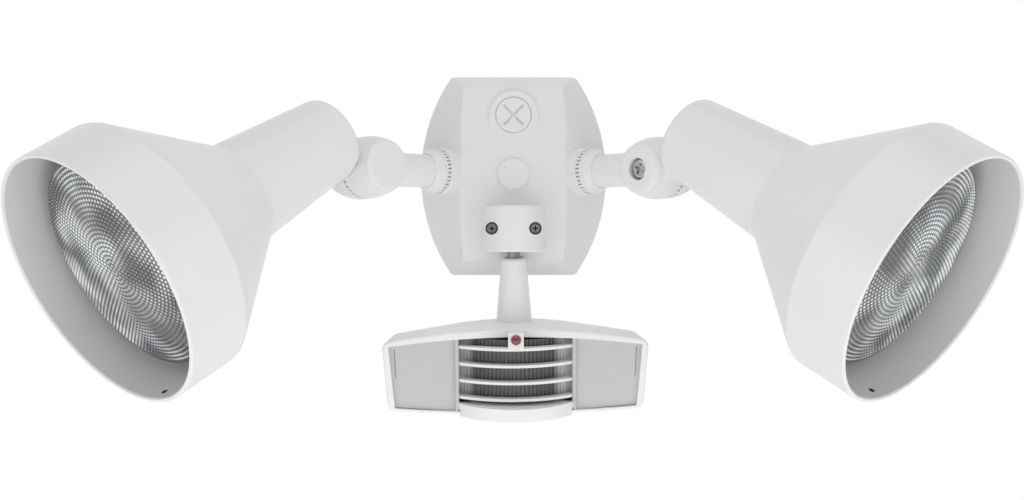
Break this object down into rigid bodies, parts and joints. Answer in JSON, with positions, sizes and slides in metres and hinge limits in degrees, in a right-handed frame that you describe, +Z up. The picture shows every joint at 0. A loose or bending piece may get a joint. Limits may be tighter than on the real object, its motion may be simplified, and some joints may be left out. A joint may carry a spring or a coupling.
{
  "type": "motion sensor security light",
  "caption": "White outdoor wall light with two swivelling floodlight heads and a motion sensor on a ball swivel below the cover.",
  "frame": {"origin": "on the wall face, behind the centre bolt of the cover", "axes": "+Z up, -Y out of the wall towards the viewer, +X to the right of someone who faces the light"},
  "size_m": [0.5346, 0.2391, 0.2097],
  "materials": {
    "casting": "satin white powder coat",
    "lamp_casting": "satin white powder coat",
    "housing": "fine satin moulding",
    "panel": "light grey fine matt",
    "lens": "dark satin sheet",
    "glass": "pressed stipple",
    "reflector": "vapour-deposited aluminium",
    "screw_brass": "bright",
    "screw_steel": "zinc plated",
    "strap_steel": "galvanised",
    "rubber": "matt",
    "ceramic": "matt porcelain",
    "led": "clear red",
    "board": "solder mask",
    "relay_case": "moulded",
    "can": "bright",
    "dial": "moulded"
  },
  "bodies": {
    "cover": {"cover_plate": "casting", "cover_gasket": "rubber", "mounting_strap": "strap_steel", "centre_bolt": "screw_steel", "bolt_cap": "housing", "closure_plug": "housing", "sensor_clamp": "housing", "clamp_screws": "screw_steel", "locknut_left": "casting", "locknut_right": "casting"},
    "arm_left": {"lamp_arm_left": "casting"},
    "head_left": {"lampholder_left": "lamp_casting", "swivel_screw_left": "screw_steel", "socket_body_left": "ceramic", "screw_shell_left": "screw_brass", "centre_contact_left": "screw_brass", "bulb_seal_left": "rubber", "bulb_reflector_left": "reflector", "bulb_lens_left": "glass", "bulb_base_left": "screw_brass", "bulb_tip_contact_left": "can"},
    "arm_right": {"lamp_arm_right": "casting"},
    "head_right": {"lampholder_right": "lamp_casting", "swivel_screw_right": "screw_steel", "socket_body_right": "ceramic", "screw_shell_right": "screw_brass", "centre_contact_right": "screw_brass", "bulb_seal_right": "rubber", "bulb_reflector_right": "reflector", "bulb_lens_right": "glass", "bulb_base_right": "screw_brass", "bulb_tip_contact_right": "can"},
    "swivel_ball": {"swivel_ball": "housing"},
    "sensor": {"arm_stud": "screw_steel", "sensor_housing": "housing", "sensor_base": "housing", "louvre_grille": "housing", "fresnel_lens": "lens", "side_panel_left": "panel", "side_panel_right": "panel", "indicator_led": "led", "circuit_board": "board", "pyro_sensor": "can", "relay": "relay_case", "capacitor": "can", "adjuster_pots": "relay_case", "case_screws": "screw_steel"},
    "time_dial": {"time_dial": "dial"},
    "range_dial": {"range_dial": "dial"}
  },
  "joints": [
    {"name": "left_arm_turn", "type": "hinge", "parent": "cover", "child": "arm_left", "pos_m": [-0.0478, -0.02, 0.002], "axis": [-0.7071, -0.7071, 0], "range_deg": [-90, 90]},
    {"name": "left_head_tilt", "type": "hinge", "parent": "arm_left", "child": "head_left", "pos_m": [-0.08754, -0.05974, 0.002], "axis": [0.7064, -0.7064, 0.0436], "range_deg": [-58.5, 46.5]},
    {"name": "right_arm_turn", "type": "hinge", "parent": "cover", "child": "arm_right", "pos_m": [0.0478, -0.02, 0.002], "axis": [0.7071, -0.7071, 0], "range_deg": [-90, 90]},
    {"name": "right_head_tilt", "type": "hinge", "parent": "arm_right", "child": "head_right", "pos_m": [0.08754, -0.05974, 0.002], "axis": [0.7052, 0.7052, 0.0732], "range_deg": [-58.5, 46.5]},
    {"name": "sensor_tilt", "type": "hinge", "parent": "cover", "child": "swivel_ball", "pos_m": [0, -0.0385, -0.038], "axis": [1, 0, 0], "range_deg": [-25, 7]},
    {"name": "sensor_turn", "type": "hinge", "parent": "swivel_ball", "child": "sensor", "pos_m": [0, -0.0385, -0.038], "axis": [-0.007, -0.1392, 0.9902], "range_deg": [-20, 20]},
    {"name": "time_dial_turn", "type": "hinge", "parent": "sensor", "child": "time_dial", "pos_m": [-0.014, -0.03667, -0.13984], "axis": [-0.007, -0.1392, 0.9902], "range_deg": [-135, 135]},
    {"name": "range_dial_turn", "type": "hinge", "parent": "sensor", "child": "range_dial", "pos_m": [0.01599, -0.03598, -0.13953], "axis": [-0.007, -0.1392, 0.9902], "range_deg": [-135, 135]}
  ]
}
